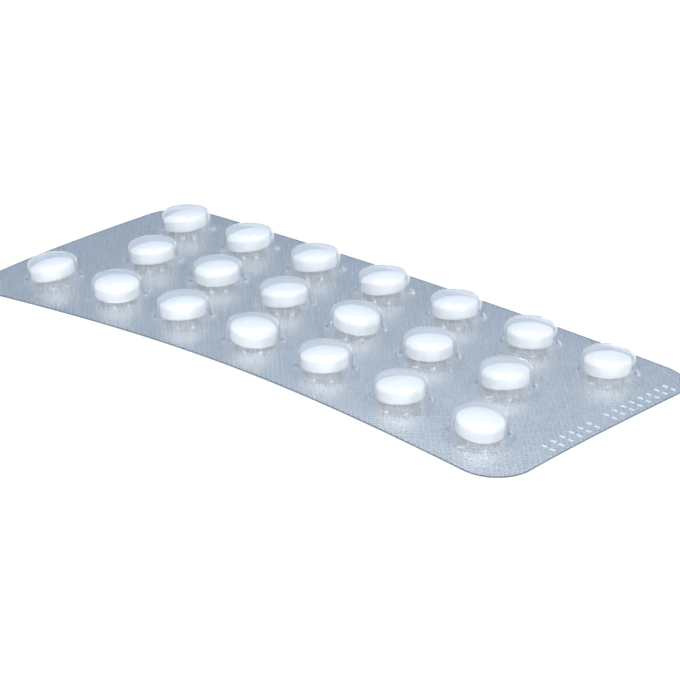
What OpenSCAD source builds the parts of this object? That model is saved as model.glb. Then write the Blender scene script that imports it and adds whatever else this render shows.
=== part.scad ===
// Push-through blister card of round biconvex tablets: a clear thermoformed film with
// one pocket for each tablet, closed from below by aluminium lidding foil. The card is
// slightly bowed and twisted, as part of a very flat cone whose tip lies in front of the
// front edge, and stands on its corners with the foil down and the domes up.

/* [Card] */
// Length of the card, along the rows of tablets
card_l = 124; // [112:0.5:140]
// Width of the card, across the rows
card_w = 53.6; // [48:0.2:60]
// Radius of the card's corners
corner_r = 7.5; // [3:0.5:10]

/* [Bow] */
// Steepness of the flat cone that the card is a part of
bow_slope = 0.4; // [0.1:0.01:0.5]
// How many times the cone is longer along the card than across it
stretch_ratio = 3; // [2:0.1:5]
// Distance from the cone's tip to the middle of the card
bow_tip = 44.5; // [40:0.5:80]
// Distance of the crown from the middle of the card, towards the code end
bow_shift = 7.8; // [-10:0.2:10]

/* [Pocket layout] */
// Tablets in each outer row; the middle row holds one fewer
row_tablets = 7; // [5:1:7]
// Distance from the card's end to the middle of the last pocket
end_margin = 12.5; // [9:0.25:16]
// Distance from the card's long edge to the middle of the outer rows
side_margin = 10; // [8:0.25:13]

/* [Tablet] */
// Diameter of a tablet
tablet_d = 8; // [6:0.1:8.2]
// Height of the tablet's straight band
tablet_band = 2; // [1.4:0.1:2.2]
// Depth of the dome on each side of the band
tablet_cup = 0.9; // [0.6:0.05:1]

/* [Film] */
// Thickness of the flat film
film_t = 0.25; // [0.2:0.01:0.35]
// Thickness of the drawn pocket wall
pocket_wall = 0.2; // [0.12:0.01:0.25]
// Gap round a tablet at mid height of its pocket
pocket_clear = 0.43; // [0.35:0.01:0.7]
// Gap over a level tablet
pocket_headroom = 0.62; // [0.5:0.02:1]
// Lean of the pocket wall from upright, in degrees
pocket_draft = 4; // [2:0.5:8]
// Outer radius where the wall turns into the top
pocket_edge_r = 1.05; // [0.8:0.05:1.4]
// Outer radius of the domed top
pocket_dome_r = 22; // [16:1:40]
// Radius where the wall flares out into the flat film
pocket_foot_r = 1.3; // [0.8:0.05:1.5]

/* [Foil] */
// Thickness of the lidding foil with its lacquer and seal coat
foil_t = 0.08; // [0.06:0.01:0.12]
// Play between the lowest tablet face and the foil
tablet_play = 0.03; // [0.02:0.01:0.08]
// Slide of a tablet towards its low side, for each degree that it leans
tablet_slide = 0.022; // [0:0.002:0.03]

/* [Hidden] */
$fn = 64;

tablet_count = 3 * row_tablets - 1;
tablet_names = [for (i = [1 : tablet_count]) str("tablet_", i < 10 ? "0" : "", i)];

// Each tablet's lean in its pocket: towards +X, then towards -Y, in degrees. The rows
// run from left to right, with the back row first and the front row last.
leans = [
    [-8, 2], [-7, 4], [-9, 0], [-9, 1], [-9, -2], [-3, -1], [-4, -1],
    [-7, 0], [-2, 4], [-7, 1], [8, -1], [-3, 1], [-9, -1],
    [-9, 1], [5, 3], [-7, -2], [8, 1], [-6, 1], [-7, 0], [6, -1],
];

// Distances between neighbours in a row, and between rows
pitch = (card_l - 2 * end_margin) / (row_tablets - 1);
row_pitch = card_w / 2 - side_margin;

// Middle of each pocket, in the card's own plane
row_x0 = -(row_tablets - 1) / 2 * pitch;
centres = concat(
    [for (i = [0 : row_tablets - 1]) [row_x0 + i * pitch, row_pitch]],
    [for (i = [0 : row_tablets - 2]) [row_x0 + (i + 0.5) * pitch, 0]],
    [for (i = [0 : row_tablets - 1]) [row_x0 + i * pitch, -row_pitch]]
);

// Height of the film's lower face over a point of the card, before the card is set down:
// level along the crown, and lower to both sides of it
function tip_r(p) = norm([(p[0] - bow_shift) / stretch_ratio, p[1] + bow_tip]);
function bow_z(p) = bow_slope * (p[1] + bow_tip - tip_r(p));
// Fall of that face for each millimetre along X and along Y
function bow_fall(p) = bow_slope * [
    (p[0] - bow_shift) / pow(stretch_ratio, 2) / tip_r(p),
    (p[1] + bow_tip) / tip_r(p) - 1
];

// The card stands on three of its corners, each on the lowest point of its arc
function foot(sx, sy, angle) =
    let (
        x = sx * (card_l / 2 - corner_r + corner_r * cos(angle)),
        y = sy * (card_w / 2 - corner_r + corner_r * sin(angle))
    )
    [x, y, bow_z([x, y]) - foil_t];
front_left = foot(-1, -1, 47);
front_right = foot(1, -1, 32);
back_right = foot(1, 1, 23);
upright = cross(front_right - front_left, back_right - front_left);
tilt_x = atan(upright[1] / upright[2]);
tilt_y = -atan(upright[0] / norm([upright[1], upright[2]]));
rest_lift = sin(tilt_y) * front_right[0]
    - cos(tilt_y) * (sin(tilt_x) * front_right[1] + cos(tilt_x) * front_right[2]);

// The cone reaches this far past the card's corners
cone_spare = 10;
cone_r = norm([(card_l / 2 + abs(bow_shift)) / stretch_ratio, card_w / 2 + bow_tip]) + cone_spare;
cone_h = bow_slope * cone_r;

// A tablet's domes are parts of spheres
tablet_r = tablet_d / 2;
tablet_t = tablet_band + 2 * tablet_cup;
dome_r = (pow(tablet_r, 2) + pow(tablet_cup, 2)) / (2 * tablet_cup);

// Outer pocket sizes, from the tablet and its clearances
pocket_h = tablet_t + pocket_headroom + pocket_wall;
wall_r = tablet_r + pocket_clear + pocket_wall + (tablet_t / 2 - film_t) * tan(pocket_draft);

// How deep a pocket's foot is sunk in the film, and how far its hollow cuts through below
foot_sink = film_t / 2;
through = 0.4;
// Turn left out at the end of each flare, so that it meets the film at a clear angle
flare_stop = 14;
arc_steps = 6;

function arc(centre, r, from, to) =
    [for (i = [0 : arc_steps])
        let (a = from + (to - from) * i / arc_steps)
        centre + r * [cos(a), sin(a)]];

// Half section of a pocket: a domed top, a rounded edge, a leaning wall and a flared foot.
// base_z is the level of the flat film that it grows from, and bottom_z is its end.
function pocket_section(height, base_r, edge_r, top_r, flare_r, base_z, bottom_z) =
    let (
        lean = tan(pocket_draft),
        edge_x = base_r - (height - edge_r - base_z) * lean - edge_r / cos(pocket_draft),
        edge_z = height - top_r + sqrt(pow(top_r - edge_r, 2) - pow(edge_x, 2)),
        top_angle = acos(edge_x / (top_r - edge_r)),
        flare_x = base_r + flare_r * (1 / cos(pocket_draft) - lean),
        flare = arc([flare_x, base_z + flare_r], flare_r, 180 + pocket_draft, 270 - flare_stop)
    )
    concat(
        arc([0, height - top_r], top_r, 90, top_angle),
        arc([edge_x, edge_z], edge_r, top_angle, pocket_draft),
        flare,
        [[flare[arc_steps][0], bottom_z], [0, bottom_z]]
    );

module pocket_outside() {
    rotate_extrude()
        polygon(pocket_section(pocket_h, wall_r, pocket_edge_r, pocket_dome_r,
            pocket_foot_r, film_t, film_t - foot_sink));
}

module pocket_inside() {
    rotate_extrude()
        polygon(pocket_section(pocket_h - pocket_wall,
            wall_r - pocket_wall / cos(pocket_draft) + film_t * tan(pocket_draft),
            pocket_edge_r - pocket_wall, pocket_dome_r - pocket_wall,
            pocket_foot_r + film_t, 0, -through));
}

// Upright prism of the card's outline
module card_outline() {
    translate([0, 0, -cone_h])
        linear_extrude(2 * cone_h) {
            square([card_l - 2 * corner_r, card_w], center = true);
            square([card_l, card_w - 2 * corner_r], center = true);
            for (sx = [-1, 1], sy = [-1, 1])
                translate([sx * (card_l / 2 - corner_r), sy * (card_w / 2 - corner_r)])
                    circle(corner_r);
        }
}

// Flat cone, stretched along the card and sheared until its crown is level, whose surface
// lies this far over the film's lower face
module bow_cone(over) {
    translate([bow_shift, -bow_tip, over])
        multmatrix([[stretch_ratio, 0, 0, 0], [0, 1, 0, 0], [0, bow_slope, 1, 0], [0, 0, 0, 1]])
            translate([0, 0, -cone_h])
                cylinder(h = cone_h, r1 = cone_r, r2 = 0);
}

module bowed_sheet(under, over) {
    intersection() {
        card_outline();
        difference() {
            bow_cone(over);
            bow_cone(under);
        }
    }
}

// Puts a child square to the bowed film at a pocket's middle
module at_pocket(p) {
    fall = bow_fall(p);
    lean_y = atan(fall[0]);
    translate([p[0], p[1], bow_z(p)])
        rotate([-atan(fall[1] * cos(lean_y)), lean_y, 0])
            children();
}

// Sets the card down on its corners
module set_down() {
    translate([0, 0, rest_lift])
        rotate([tilt_x, tilt_y, 0])
            children();
}

module blister_film() {
    color("aliceblue", 0.35)
        set_down()
            difference() {
                union() {
                    bowed_sheet(0, film_t);
                    for (p = centres)
                        at_pocket(p) pocket_outside();
                }
                for (p = centres)
                    at_pocket(p) pocket_inside();
            }
}

module lidding_foil() {
    color("lightsteelblue")
        set_down()
            bowed_sheet(-foil_t, 0);
}

module tablet_form() {
    intersection() {
        cylinder(h = tablet_t, r = tablet_r);
        translate([0, 0, dome_r]) sphere(dome_r);
        translate([0, 0, tablet_t - dome_r]) sphere(dome_r);
    }
}

// A tablet rocks on its lower dome, near the middle of its pocket
module tablet(i) {
    lean = leans[i];
    sway = (dome_r - tablet_t / 2) * [sin(lean[0]), -sin(lean[1]) * cos(lean[0])]
        + tablet_slide * [lean[0], -lean[1]];
    color("white")
        set_down()
            at_pocket(centres[i])
                translate([sway[0], sway[1], dome_r + tablet_play])
                    rotate([lean[1], lean[0], 0])
                        translate([0, 0, -dome_r])
                            tablet_form();
}

blister_film();
lidding_foil();
for (i = [0 : tablet_count - 1])
    tablet(i);
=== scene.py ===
from math import acos, atan, atan2, cos, hypot, pi, radians, sin, sqrt, tan

import bmesh
import bpy
from mathutils import Matrix, Vector


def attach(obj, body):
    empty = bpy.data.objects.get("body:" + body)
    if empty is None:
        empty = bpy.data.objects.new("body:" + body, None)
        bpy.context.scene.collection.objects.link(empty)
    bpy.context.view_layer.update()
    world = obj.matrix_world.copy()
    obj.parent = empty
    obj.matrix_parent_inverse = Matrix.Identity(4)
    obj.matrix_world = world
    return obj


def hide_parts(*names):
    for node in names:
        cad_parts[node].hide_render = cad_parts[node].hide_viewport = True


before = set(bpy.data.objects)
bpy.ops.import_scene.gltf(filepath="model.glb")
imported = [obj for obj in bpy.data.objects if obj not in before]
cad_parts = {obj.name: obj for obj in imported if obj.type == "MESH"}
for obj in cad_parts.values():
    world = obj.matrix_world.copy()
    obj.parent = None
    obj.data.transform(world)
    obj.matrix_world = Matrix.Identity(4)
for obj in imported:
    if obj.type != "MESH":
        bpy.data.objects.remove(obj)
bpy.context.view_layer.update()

# Lidding foil. Hard aluminium strip, lacquered and heat-sealed to the film under a knurled
# plate, which presses fine crossing grooves into it. The card was cut with rounded corners
# and has bowed a little since, most along its front edge.
MM = 0.001
CARD_LENGTH = 124 * MM
CARD_WIDTH = 53.6 * MM
CORNER_RADIUS = 7.5 * MM
CORNER_STEPS = 16
FOIL = 0.08 * MM
KNURL_PITCH = 0.8 * MM
TRIMMED_OFF = 1 * MM

# The card is part of a flat cone, stretched along the card, whose tip lies in front of it
BOW_SLOPE = 0.4
BOW_STRETCH = 3
BOW_TIP = 44.5 * MM
BOW_SHIFT = 7.8 * MM


def card_point(x, y):
    """A point of the face between foil and film, before the card is set down."""
    reach = hypot((x - BOW_SHIFT) / BOW_STRETCH, y + BOW_TIP)
    return Vector((x, y, BOW_SLOPE * (y + BOW_TIP - reach)))


def card_normal(x, y):
    reach = hypot((x - BOW_SHIFT) / BOW_STRETCH, y + BOW_TIP)
    fall_x = BOW_SLOPE * (x - BOW_SHIFT) / BOW_STRETCH**2 / reach
    fall_y = BOW_SLOPE * ((y + BOW_TIP) / reach - 1)
    return Vector((fall_x, fall_y, 1)).normalized()


def foot(side_x, side_y, degrees):
    """The lowest point of a corner's arc, on the foil's lower face."""
    x = side_x * (CARD_LENGTH / 2 - CORNER_RADIUS * (1 - cos(radians(degrees))))
    y = side_y * (CARD_WIDTH / 2 - CORNER_RADIUS * (1 - sin(radians(degrees))))
    return card_point(x, y) - Vector((0, 0, FOIL))


front_left, front_right, back_right = foot(-1, -1, 47), foot(1, -1, 32), foot(1, 1, 23)
upright = (front_right - front_left).cross(back_right - front_left)
level = (
    Matrix.Rotation(-atan(upright.x / hypot(upright.y, upright.z)), 4, "Y")
    @ Matrix.Rotation(atan(upright.y / upright.z), 4, "X")
)
SET_DOWN = Matrix.Translation((0, 0, -(level @ front_right).z)) @ level


def trim_to_card(bm):
    """Cuts a flat sheet to the card's outline, with planes round each corner."""
    for side_x in (-1, 1):
        for side_y in (-1, 1):
            centre = Vector((
                side_x * (CARD_LENGTH / 2 - CORNER_RADIUS),
                side_y * (CARD_WIDTH / 2 - CORNER_RADIUS),
                0,
            ))
            for step in range(CORNER_STEPS + 1):
                turn = radians(90 * step / CORNER_STEPS)
                outward = Vector((side_x * cos(turn), side_y * sin(turn), 0))
                bmesh.ops.bisect_plane(
                    bm, geom=bm.verts[:] + bm.edges[:] + bm.faces[:], dist=1e-7,
                    plane_co=centre + outward * CORNER_RADIUS, plane_no=outward, clear_outer=True,
                )
    bmesh.ops.remove_doubles(bm, verts=bm.verts, dist=1e-6)


def finished(bm, name, material, nodes, crease=35):
    """Makes a smooth piece of the mesh, sharp only past the crease angle."""
    mesh = bpy.data.meshes.new(name)
    bm.to_mesh(mesh)
    bm.free()
    for polygon in mesh.polygons:
        polygon.use_smooth = True
    mesh.set_sharp_from_angle(angle=radians(crease))
    piece = bpy.data.objects.new(name, mesh)
    bpy.context.scene.collection.objects.link(piece)
    mesh.materials.append(material)
    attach(piece, "root")
    if nodes:
        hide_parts(*nodes)
    return piece


def colour(hex_value):
    """sRGB hex, such as "A8B7C7", as the linear colour that a shader takes."""
    parts = [int(hex_value[i : i + 2], 16) / 255 for i in (0, 2, 4)]
    return [p / 12.92 if p <= 0.04045 else ((p + 0.055) / 1.055) ** 2.4 for p in parts] + [1]


def add(material, kind, links=None, **settings):
    """Adds a node, sets its sockets or properties by name, and links its inputs."""
    node = material.node_tree.nodes.new(kind)
    for name, value in settings.items():
        setattr(node, name, value)
    for socket, value in (links or {}).items():
        if isinstance(value, bpy.types.NodeSocket):
            material.node_tree.links.new(value, node.inputs[socket])
        else:
            node.inputs[socket].default_value = value
    return node


def new_material(name):
    material = bpy.data.materials.new(name)
    material.use_nodes = True
    material.node_tree.nodes.clear()
    return material


def show(material, shader):
    output = add(material, "ShaderNodeOutputMaterial")
    material.node_tree.links.new(shader.outputs[0], output.inputs["Surface"])


# Knurled aluminium: a pale metal, pressed into rows of low pyramids that lie at 45 degrees
# to the edges, so that it breaks what it mirrors into soft streaks. The grooves between
# them are duller and painted a little darker, which is painted shade, and the sheet has slow
# buckles.
foil_metal = new_material("heat-sealed aluminium foil, knurled")
place = add(foil_metal, "ShaderNodeTexCoord").outputs["Object"]
turned = add(foil_metal, "ShaderNodeMapping", {
    "Vector": place, "Rotation": (0, 0, radians(45)),
    "Scale": (1 / KNURL_PITCH, 1 / KNURL_PITCH, 0),
})
axes = add(foil_metal, "ShaderNodeSeparateXYZ", {0: turned.outputs[0]})
slope_x = add(foil_metal, "ShaderNodeMath", {0: axes.outputs["X"], 1: 0.5}, operation="PINGPONG")
slope_y = add(foil_metal, "ShaderNodeMath", {0: axes.outputs["Y"], 1: 0.5}, operation="PINGPONG")
pyramids = add(foil_metal, "ShaderNodeMath", {0: slope_x.outputs[0], 1: slope_y.outputs[0]},
               operation="MINIMUM")
dull = add(foil_metal, "ShaderNodeMapRange", {
    "Value": pyramids.outputs[0], "From Max": 0.5, "To Min": 0.3, "To Max": 0.24})
# Painted shade: the grooves are coloured a touch darker than the tops of the pyramids
shade = add(foil_metal, "ShaderNodeMix", {
    "Factor": pyramids.outputs[0], "A": colour("E4E6E8"), "B": colour("E8EAEC"),
}, data_type="RGBA")
buckle = add(foil_metal, "ShaderNodeTexNoise", {"Vector": place, "Scale": 90, "Detail": 2})
buckled = add(foil_metal, "ShaderNodeBump", {
    "Height": buckle.outputs["Fac"], "Strength": 0.35, "Distance": 0.5 * MM,
})
pressed = add(foil_metal, "ShaderNodeBump", {
    "Height": pyramids.outputs[0], "Strength": 0.16, "Distance": 0.1 * MM,
    "Normal": buckled.outputs[0],
})
show(foil_metal, add(foil_metal, "ShaderNodeBsdfPrincipled", {
    "Base Color": shade.outputs["Result"], "Metallic": 1.0, "Roughness": dull.outputs[0],
    "Normal": pressed.outputs[0],
}))

bm = bmesh.new()
bmesh.ops.create_grid(bm, x_segments=90, y_segments=40, size=0.5)
uncut = (CARD_LENGTH + 2 * TRIMMED_OFF, CARD_WIDTH + 2 * TRIMMED_OFF, 1)
bmesh.ops.scale(bm, vec=uncut, verts=bm.verts)
trim_to_card(bm)
for v in bm.verts:
    v.co = SET_DOWN @ card_point(v.co.x, v.co.y)
grown = bmesh.ops.extrude_face_region(bm, geom=bm.faces[:])["geom"]
lower = [g for g in grown if isinstance(g, bmesh.types.BMVert)]
drop = SET_DOWN.to_3x3() @ Vector((0, 0, -FOIL))
bmesh.ops.translate(bm, vec=drop, verts=lower)
bmesh.ops.recalc_face_normals(bm, faces=bm.faces)
finished(bm, "lidding_foil_strip", foil_metal, ["lidding_foil"])

# Blister film. Clear stiff PVC, 0.25 mm thick, drawn down hot into round domed pockets and
# then sealed flat to the foil. Each wall leans a little, turns over in a rounded edge into a
# low dome, and flares out at its foot. The wall is thinner where the film was drawn.
FILM = 0.25 * MM
SEAL_BITE = 0.01 * MM
PITCH = 16.5 * MM
ROW_PITCH = 16.8 * MM
POCKET_HEIGHT = 4.62 * MM
WALL_LEAN = radians(4)
WALL_RADIUS = 4.745 * MM
EDGE_RADIUS = 1.05 * MM
DOME_RADIUS = 22 * MM
FLARE_RADIUS = 1.3 * MM
DRAWN_THINNER = 0.5
ROUND_STEPS = 48

pocket_centres = (
    [((i - 3) * PITCH, ROW_PITCH) for i in range(7)]
    + [((i - 2.5) * PITCH, 0) for i in range(6)]
    + [((i - 3) * PITCH, -ROW_PITCH) for i in range(7)]
)


def arc(x, z, radius, first, last, steps):
    """Points of an arc in the XZ plane, its angles counted from +X in radians."""
    turns = [first + (last - first) * i / steps for i in range(steps + 1)]
    return [Vector((x + radius * cos(t), 0, z + radius * sin(t))) for t in turns]


edge_x = (
    WALL_RADIUS - (POCKET_HEIGHT - EDGE_RADIUS - FILM) * tan(WALL_LEAN)
    - EDGE_RADIUS / cos(WALL_LEAN)
)
edge_z = POCKET_HEIGHT - DOME_RADIUS + sqrt((DOME_RADIUS - EDGE_RADIUS) ** 2 - edge_x**2)
edge_turn = acos(edge_x / (DOME_RADIUS - EDGE_RADIUS))
flare_x = WALL_RADIUS + FLARE_RADIUS * (1 / cos(WALL_LEAN) - tan(WALL_LEAN))
pocket_profile = (
    arc(0, POCKET_HEIGHT - DOME_RADIUS, DOME_RADIUS, pi / 2, edge_turn, 5)
    + arc(edge_x, edge_z, EDGE_RADIUS, edge_turn, WALL_LEAN, 8)[1:]
    + arc(flare_x, FILM + FLARE_RADIUS, FLARE_RADIUS, pi + WALL_LEAN, pi * 1.5, 8)
)

cell = bmesh.new()
chain = [cell.verts.new(p) for p in pocket_profile]
sides = [cell.edges.new(pair) for pair in zip(chain, chain[1:])]
bmesh.ops.spin(cell, geom=chain + sides, cent=(0, 0, 0), axis=(0, 0, 1), angle=2 * pi,
               steps=ROUND_STEPS, use_merge=True)
bmesh.ops.remove_doubles(cell, verts=cell.verts, dist=1e-6)
# Three rings of faces lead from the round mouth out to the edge of the pocket's oblong cell
mouth = [e for e in cell.edges if e.is_boundary]
grown = bmesh.ops.extrude_edge_only(cell, edges=mouth)["geom"]
rim = [g for g in grown if isinstance(g, bmesh.types.BMVert)]
for v in rim:
    turn = atan2(v.co.y, v.co.x)
    side = round(turn / (pi / 2))
    along = (turn - side * pi / 2) / (pi / 4)
    v.co = Matrix.Rotation(side * pi / 2, 3, "Z") @ Vector((0.5, 0.5 * along, 0))
    v.co = Vector((v.co.x * PITCH, v.co.y * ROW_PITCH, FILM))
spokes = [e for v in rim for e in v.link_edges if not e.is_boundary]
bmesh.ops.subdivide_edges(cell, edges=spokes, cuts=2, use_grid_fill=True)
cell_mesh = bpy.data.meshes.new("pocket_cell")
cell.to_mesh(cell_mesh)
cell.free()

# Cells without a pocket fill the card's margin
blank = bmesh.new()
bmesh.ops.create_grid(blank, x_segments=12, y_segments=12, size=0.5)
bmesh.ops.scale(blank, vec=(PITCH, ROW_PITCH, 1), verts=blank.verts)
bmesh.ops.translate(blank, vec=(0, 0, FILM), verts=blank.verts)
blank_mesh = bpy.data.meshes.new("blank_cell")
blank.to_mesh(blank_mesh)
blank.free()

bm = bmesh.new()
layout = [(blank_mesh, i * PITCH, j * ROW_PITCH) for j in (-2, 2) for i in range(-4, 5)]
layout += [(blank_mesh, i * PITCH, j * ROW_PITCH) for j in (-1, 1) for i in (-4, 4)]
layout += [(blank_mesh, i * PITCH, 0) for i in (-3.5, 3.5)]
layout += [(cell_mesh, x, y) for x, y in pocket_centres]
for part, x, y in layout:
    before = len(bm.verts)
    bm.from_mesh(part)
    bm.verts.ensure_lookup_table()
    bmesh.ops.translate(bm, vec=(x, y, 0), verts=bm.verts[before:])
bmesh.ops.remove_doubles(bm, verts=bm.verts, dist=2e-6)
bmesh.ops.recalc_face_normals(bm, faces=bm.faces)
trim_to_card(bm)
if sum(f.normal.z for f in bm.faces) < 0:
    bmesh.ops.reverse_faces(bm, faces=bm.faces)

# Each point is carried onto the bowed card, where a pocket stands square to its own middle
thickness = bm.verts.layers.deform.verify()
how_drawn = bm.verts.layers.float.new("drawn")
for v in bm.verts:
    x, y, height = v.co
    near = min(pocket_centres, key=lambda c: hypot(c[0] - x, c[1] - y))
    drawn = min(max((height - FILM) / FLARE_RADIUS, 0), 1)
    up = card_normal(x + (near[0] - x) * drawn, y + (near[1] - y) * drawn)
    v.co = SET_DOWN @ (card_point(x, y) + up * height)
    v[thickness][0] = 1 - DRAWN_THINNER * drawn
    v[how_drawn] = drawn

# Clear PVC: glossy and colourless, with an index near 1.54, and faintly milky where it was
# drawn. Slow waves left by the drawing bend its highlights a little. It lets the lamps'
# light through to what lies under it.
clear_pvc = new_material("thermoformed clear PVC film")
place = add(clear_pvc, "ShaderNodeTexCoord").outputs["Object"]
wave = add(clear_pvc, "ShaderNodeTexNoise", {"Vector": place, "Scale": 260, "Detail": 1})
waved = add(clear_pvc, "ShaderNodeBump", {
    "Height": wave.outputs["Fac"], "Strength": 0.1, "Distance": 0.1 * MM,
})
drawing = add(clear_pvc, "ShaderNodeAttribute", attribute_name="drawn")
clearness = add(clear_pvc, "ShaderNodeMapRange", {
    "Value": drawing.outputs["Fac"], "To Min": 0.95, "To Max": 0.82})
clear_gloss = add(clear_pvc, "ShaderNodeBsdfPrincipled", {
    "Base Color": colour("F9FAFC"), "Roughness": 0.05, "IOR": 1.54,
    "Transmission Weight": clearness.outputs[0], "Normal": waved.outputs[0],
})
let_through = add(clear_pvc, "ShaderNodeBsdfTransparent", {"Color": colour("F9FAFC")})
from_lamp = add(clear_pvc, "ShaderNodeLightPath").outputs["Is Shadow Ray"]
show(clear_pvc, add(clear_pvc, "ShaderNodeMixShader", {
    0: from_lamp, 1: clear_gloss.outputs[0], 2: let_through.outputs[0]}))

# The sheared edge of the card is rough; its grey is partly the sheared PVC and partly
# painted shade, standing in for the dark line of shadow along the card's edge
sheared_edge_painted_shade = new_material("sheared PVC edge, part painted shade")
place = add(sheared_edge_painted_shade, "ShaderNodeTexCoord").outputs["Object"]
tearing = add(sheared_edge_painted_shade, "ShaderNodeTexNoise", {"Vector": place, "Scale": 3000, "Detail": 2})
torn = add(sheared_edge_painted_shade, "ShaderNodeMapRange", {
    "Value": tearing.outputs["Fac"], "To Min": 0.4, "To Max": 0.7})
show(sheared_edge_painted_shade, add(sheared_edge_painted_shade, "ShaderNodeBsdfPrincipled", {
    "Base Color": colour("7A858D"), "Roughness": torn.outputs[0], "IOR": 1.54}))

# The skin is the film's outer face and gets its thickness inwards, with the cut edge grey, partly
# as painted shade
mesh = bpy.data.meshes.new("film_skin")
bm.to_mesh(mesh)
bm.free()
mesh.materials.append(clear_pvc)
mesh.materials.append(sheared_edge_painted_shade)
skin = bpy.data.objects.new("film_skin", mesh)
skin.vertex_groups.new(name="thickness")
bpy.context.scene.collection.objects.link(skin)
wall = skin.modifiers.new("wall", "SOLIDIFY")
wall.thickness = FILM + SEAL_BITE
wall.offset = -1
wall.use_even_offset = True
wall.vertex_group = "thickness"
wall.material_offset_rim = 1
bm = bmesh.new()
bm.from_object(skin, bpy.context.evaluated_depsgraph_get())
bpy.data.objects.remove(skin)
bpy.data.meshes.remove(mesh)
film = finished(bm, "pocketed_film", clear_pvc, ["blister_film"])
film.data.materials.append(sheared_edge_painted_shade)

# Tablets. White powder pressed between two cupped punches into a round biconvex form with
# a straight band, and smooth coated. The meeting line of dome and band is slightly worn.
# Each one has rocked over on its lower dome as far as its pocket lets it.
TABLET_RADIUS = 4 * MM
BAND = 2 * MM
CUP = 0.9 * MM
WORN_EDGE = 0.28 * MM
PLAY = 0.03 * MM
SLIDE = 0.022 * MM

# Each tablet's lean towards +X and then towards -Y, in degrees, row by row from the back
leans = [
    (-8, 2), (-7, 4), (-9, 0), (-9, 1), (-9, -2), (-3, -1), (-4, -1),
    (-7, 0), (-2, 4), (-7, 1), (8, -1), (-3, 1), (-9, -1),
    (-9, 1), (5, 3), (-7, -2), (8, 1), (-6, 1), (-7, 0), (6, -1),
]

# Pressed and coated powder: nearly white, smooth to the touch, with a soft sheen and the
# faint grain of the granules.
coated_powder = new_material("film-coated pressed tablet")
place = add(coated_powder, "ShaderNodeTexCoord").outputs["Object"]
grain = add(coated_powder, "ShaderNodeTexNoise", {"Vector": place, "Scale": 5000, "Detail": 2})
grained = add(coated_powder, "ShaderNodeBump", {
    "Height": grain.outputs["Fac"], "Strength": 0.15, "Distance": 0.02 * MM,
})
show(coated_powder, add(coated_powder, "ShaderNodeBsdfPrincipled", {
    "Base Color": colour("F4F6F8"), "Roughness": 0.42, "IOR": 1.5,
    "Normal": grained.outputs[0],
}))


def square_to_card(x, y):
    """Moves what stands at the origin square onto the foil at a point of the card."""
    normal = card_normal(x, y)
    return (
        SET_DOWN @ Matrix.Translation(card_point(x, y))
        @ Matrix.Rotation(atan(normal.x / normal.z), 4, "Y")
        @ Matrix.Rotation(-atan(normal.y / hypot(normal.x, normal.z)), 4, "X")
    )


cap_radius = (TABLET_RADIUS**2 + CUP**2) / (2 * CUP)
cap_turn = acos(TABLET_RADIUS / cap_radius)
tablet_height = BAND + 2 * CUP
section = (
    arc(0, cap_radius, cap_radius, -pi / 2, -cap_turn, 8)
    + arc(0, tablet_height - cap_radius, cap_radius, cap_turn, pi / 2, 8)
)
for number, ((x, y), lean) in enumerate(zip(pocket_centres, leans), 1):
    bm = bmesh.new()
    chain = [bm.verts.new(p) for p in section]
    sides = [bm.edges.new(pair) for pair in zip(chain, chain[1:])]
    bmesh.ops.spin(bm, geom=chain + sides, cent=(0, 0, 0), axis=(0, 0, 1), angle=2 * pi,
                   steps=ROUND_STEPS, use_merge=True)
    bmesh.ops.remove_doubles(bm, verts=bm.verts, dist=1e-6)
    bmesh.ops.recalc_face_normals(bm, faces=bm.faces)
    rims = [
        e for e in bm.edges
        if e.verts[0].co.xy.length > TABLET_RADIUS - 1e-6
        and e.verts[1].co.xy.length > TABLET_RADIUS - 1e-6
        and abs(e.verts[0].co.z - e.verts[1].co.z) < 1e-6
    ]
    bmesh.ops.bevel(bm, geom=rims, offset=WORN_EDGE, offset_type="OFFSET", affect="EDGES",
                    segments=3, profile=0.5, material=-1)
    lean_x, lean_y = radians(lean[0]), radians(lean[1])
    rise = cap_radius - tablet_height / 2
    sway = Vector((rise * sin(lean_x) + SLIDE * lean[0],
                   -rise * sin(lean_y) * cos(lean_x) - SLIDE * lean[1], 0))
    bmesh.ops.transform(bm, verts=bm.verts, matrix=(
        square_to_card(x, y) @ Matrix.Translation(sway + Vector((0, 0, cap_radius + PLAY)))
        @ Matrix.Rotation(lean_x, 4, "Y") @ Matrix.Rotation(lean_y, 4, "X")
        @ Matrix.Translation((0, 0, -cap_radius))
    ))
    finished(bm, f"pressed_tablet_{number:02d}", coated_powder,
             [f"tablet_{number:02d}"], crease=60)

# Code field. A steel die presses marks into the warm film along its right hand edge, which
# whitens the PVC there; their near-white is also painted glint, standing in for the lamps'
# highlights on the pressed marks. Here they are plain pairs of ribs, with one place left empty,
# and spell nothing.
MARK_LENGTH = 1 * MM
MARK_WIDTH = 0.42 * MM
MARK_HEIGHT = 0.1 * MM
MARK_ROUNDING = 0.06 * MM
MARK_STEP = 2.3 * MM
MARK_EDGE = 1.4 * MM
MARK_GAP = 1.6 * MM
MARKS_MIDDLE = 4 * MM
MARKS_EACH_WAY = 7
EMPTY_PLACE = -1

whitened_pvc_painted_glint = new_material("stress-whitened PVC with painted glint")
place = add(whitened_pvc_painted_glint, "ShaderNodeTexCoord").outputs["Object"]
mottle = add(whitened_pvc_painted_glint, "ShaderNodeTexNoise", {"Vector": place, "Scale": 2500, "Detail": 2})
haze = add(whitened_pvc_painted_glint, "ShaderNodeMapRange", {
    "Value": mottle.outputs["Fac"], "To Min": 0.2, "To Max": 0.5})
# Painted glint: the ribs' near-white colour stands partly for highlights on the pressed marks
show(whitened_pvc_painted_glint, add(whitened_pvc_painted_glint, "ShaderNodeBsdfPrincipled", {
    "Base Color": colour("F0F6F8"), "Roughness": haze.outputs[0], "IOR": 1.54,
}))

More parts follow.
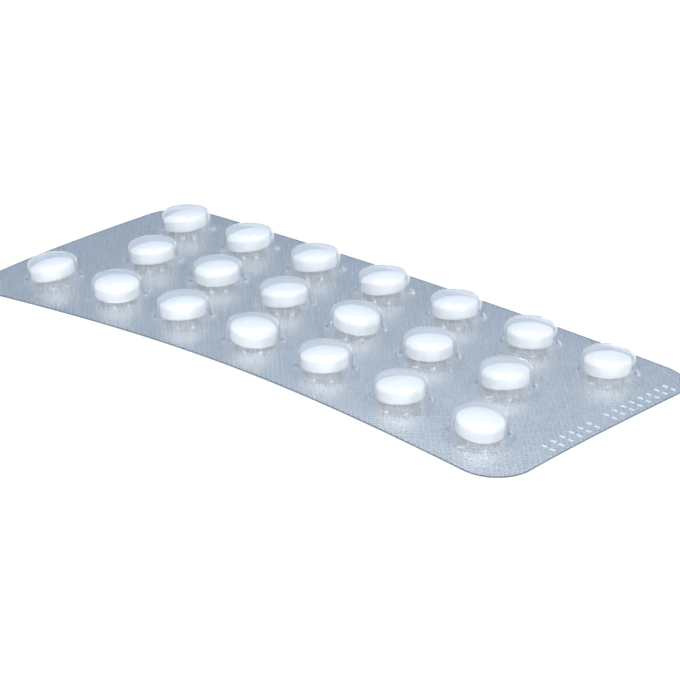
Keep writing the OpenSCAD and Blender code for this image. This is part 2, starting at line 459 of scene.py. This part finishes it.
bm = bmesh.new()
for place_number in range(-MARKS_EACH_WAY, MARKS_EACH_WAY + 1):
    if place_number == EMPTY_PLACE:
        continue
    for row in (0, 1):
        x = CARD_LENGTH / 2 - MARK_EDGE - row * MARK_GAP
        y = MARKS_MIDDLE + place_number * MARK_STEP
        rib = bmesh.ops.create_cube(bm, size=1)["verts"]
        bmesh.ops.scale(bm, vec=(MARK_LENGTH, MARK_WIDTH, 2 * MARK_HEIGHT), verts=rib)
        edges = list({e for v in rib for e in v.link_edges})
        rounded = bmesh.ops.bevel(bm, geom=edges, offset=MARK_ROUNDING, offset_type="OFFSET",
                                  affect="EDGES", segments=2, profile=0.5, material=-1)
        bmesh.ops.transform(bm, verts=rounded["verts"],
                            matrix=square_to_card(x, y) @ Matrix.Translation((0, 0, FILM)))
finished(bm, "code_field_ribs", whitened_pvc_painted_glint, None)

# The floor is a plain white table top, and the backdrop is white too. Seen directly, in a
# mirror or through the film both are white; the light that they give back is plain.
TABLE_SIZE = 4
TABLE_GAP = 0.02 * MM

table_white = new_material("matt white table top")
ray = add(table_white, "ShaderNodeLightPath")
mirrored = add(table_white, "ShaderNodeMath", {
    0: ray.outputs["Is Camera Ray"], 1: ray.outputs["Is Glossy Ray"]}, operation="MAXIMUM")
viewed = add(table_white, "ShaderNodeMath", {
    0: mirrored.outputs[0], 1: ray.outputs["Is Transmission Ray"]}, operation="MAXIMUM")
glow_level = add(table_white, "ShaderNodeMath", {0: viewed.outputs[0], 1: 0.86},
                 operation="MULTIPLY")
matt = add(table_white, "ShaderNodeBsdfDiffuse", {"Color": colour("959595")})
glow = add(table_white, "ShaderNodeEmission", {
    "Color": (1, 1, 1, 1), "Strength": glow_level.outputs[0]})
show(table_white, add(table_white, "ShaderNodeAddShader", {
    0: matt.outputs[0], 1: glow.outputs[0]}))
bm = bmesh.new()
bmesh.ops.create_grid(bm, x_segments=1, y_segments=1, size=TABLE_SIZE / 2)
mesh = bpy.data.meshes.new("table_top")
bm.to_mesh(mesh)
bm.free()
table = bpy.data.objects.new("table_top", mesh)
table.location = (0, 0, -TABLE_GAP)
bpy.context.scene.collection.objects.link(table)
mesh.materials.append(table_white)

# Round the table the room is a cool pale grey, which the foil mirrors
world = bpy.data.worlds.new("studio")
bpy.context.scene.world = world
world.use_nodes = True
room = world.node_tree.nodes["Background"]
paths = world.node_tree.nodes.new("ShaderNodeLightPath")
seen = world.node_tree.nodes.new("ShaderNodeMix")
seen.data_type = "RGBA"
seen.inputs["A"].default_value = (0.38, 0.488, 0.615, 1)
seen.inputs["B"].default_value = (1, 1, 1, 1)
world.node_tree.links.new(paths.outputs["Is Camera Ray"], seen.inputs["Factor"])
world.node_tree.links.new(seen.outputs["Result"], room.inputs["Color"])


def softbox(name, azimuth, elevation, distance, width, height, brightness, tint=(1, 1, 1)):
    """An evenly bright lamp that faces the card; azimuth 0 stands in front, towards -Y."""
    lamp = bpy.data.lights.new(name, "AREA")
    lamp.shape = "RECTANGLE"
    lamp.size, lamp.size_y = width, height
    lamp.energy = brightness * pi * width * height
    lamp.color = tint
    holder = bpy.data.objects.new(name, lamp)
    a, e = radians(azimuth), radians(elevation)
    toward = Vector((sin(a) * cos(e), -cos(a) * cos(e), sin(e)))
    holder.location = toward * distance
    holder.rotation_euler = toward.to_track_quat("Z", "Y").to_euler()
    bpy.context.scene.collection.objects.link(holder)


# A large panel fills from behind the camera. Two long lamp boxes hang close overhead, to
# the left and right. A smaller panel stands on the right and a low strip behind the card.
softbox("front_panel", 42, 33, 1.2, 2.8, 1.6, 1.2, (1, 0.985, 0.96))
softbox("overhead_left", -65, 75, 0.41, 0.3, 0.045, 4.2)
softbox("overhead_right", 149, 76, 0.41, 0.3, 0.045, 4.2)
softbox("right_panel", 128, 14, 1.2, 0.7, 0.4, 1.1)
softbox("low_back_strip", 200, 6, 1.2, 0.5, 0.16, 1.4)

# The camera stands in front and to the right of the card, 23 degrees above the table.
camera = bpy.data.cameras.new("camera")
camera.lens = 143.85
camera.sensor_width = 36
camera.clip_end = 20
viewer = bpy.data.objects.new("camera", camera)
azimuth, elevation, roll = radians(42.167), radians(22.956), radians(-0.086)
back = Vector((sin(azimuth) * cos(elevation), -cos(azimuth) * cos(elevation), sin(elevation)))
right = Vector((cos(azimuth), sin(azimuth), 0))
up = back.cross(right)
right, up = right * cos(roll) + up * sin(roll), up * cos(roll) - right * sin(roll)
stand = (right * 3.477 + up * -1.441 + back * 471.845) * MM
viewer.matrix_world = Matrix((
    (right.x, up.x, back.x, stand.x),
    (right.y, up.y, back.y, stand.y),
    (right.z, up.z, back.z, stand.z),
    (0, 0, 0, 1),
))
bpy.context.scene.collection.objects.link(viewer)
bpy.context.scene.camera = viewer

bpy.context.scene.view_settings.view_transform = "Standard"

# Light is followed until it gets out of the clear walls again, or they would have dark lines
MOST_BOUNCES = 40
light_paths = bpy.context.scene.cycles
light_paths.max_bounces = MOST_BOUNCES
light_paths.glossy_bounces = MOST_BOUNCES
light_paths.transmission_bounces = MOST_BOUNCES
light_paths.transparent_max_bounces = MOST_BOUNCES
